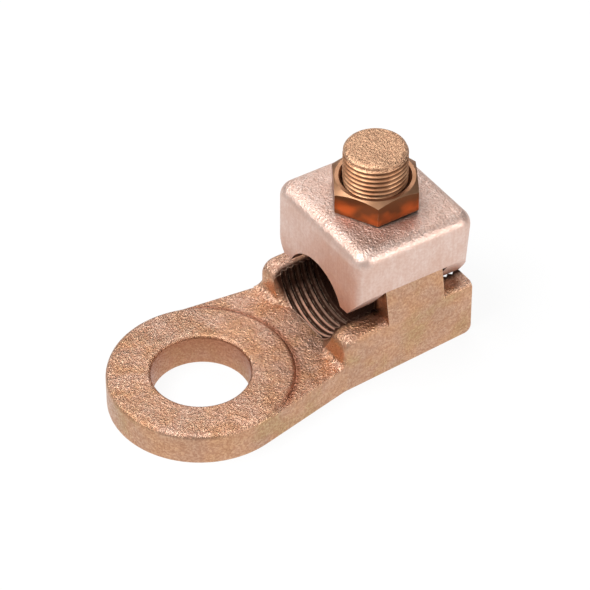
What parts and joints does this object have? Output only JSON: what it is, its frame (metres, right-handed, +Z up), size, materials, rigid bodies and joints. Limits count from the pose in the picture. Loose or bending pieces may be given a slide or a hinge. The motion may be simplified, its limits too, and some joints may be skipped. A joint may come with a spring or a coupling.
{
  "type": "mechanical lug",
  "caption": "Cast ring-tongue cable lug with a closed yoke round the cable trough, a threaded stud, a loose clamping saddle and a hexagon nut.",
  "frame": {"origin": "centre of the pad hole on the base plane", "axes": "+X from the pad to the cable end, +Z up along the pad hole and the stud, +Y completes the frame"},
  "size_m": [0.1029, 0.052, 0.0616],
  "materials": {
    "cast_bronze": "sand-cast copper alloy, rough on top and smoother on the sides",
    "cast_copper": "satin cast copper with an orange-peel top and brushed sides",
    "nut_bronze": "glossy turned bronze"
  },
  "bodies": {
    "body": {"lug_body": "cast_bronze"},
    "saddle": {"saddle_clamp": "cast_copper"},
    "nut": {"clamp_nut": "nut_bronze"}
  },
  "joints": [
    {"name": "saddle_slide", "type": "slide", "parent": "body", "child": "saddle", "axis": [0, 0, 1], "range_m": [0, 0.008]},
    {"name": "nut_spin", "type": "hinge", "parent": "saddle", "child": "nut", "pos_m": [0.0574, 0, 0.048], "axis": [0, 0, 1], "range_deg": [0, 1921]}
  ],
  "couplings": [
    {"joint": "nut_spin", "follows": "saddle_slide", "rad_per_m": 4188.8}
  ]
}
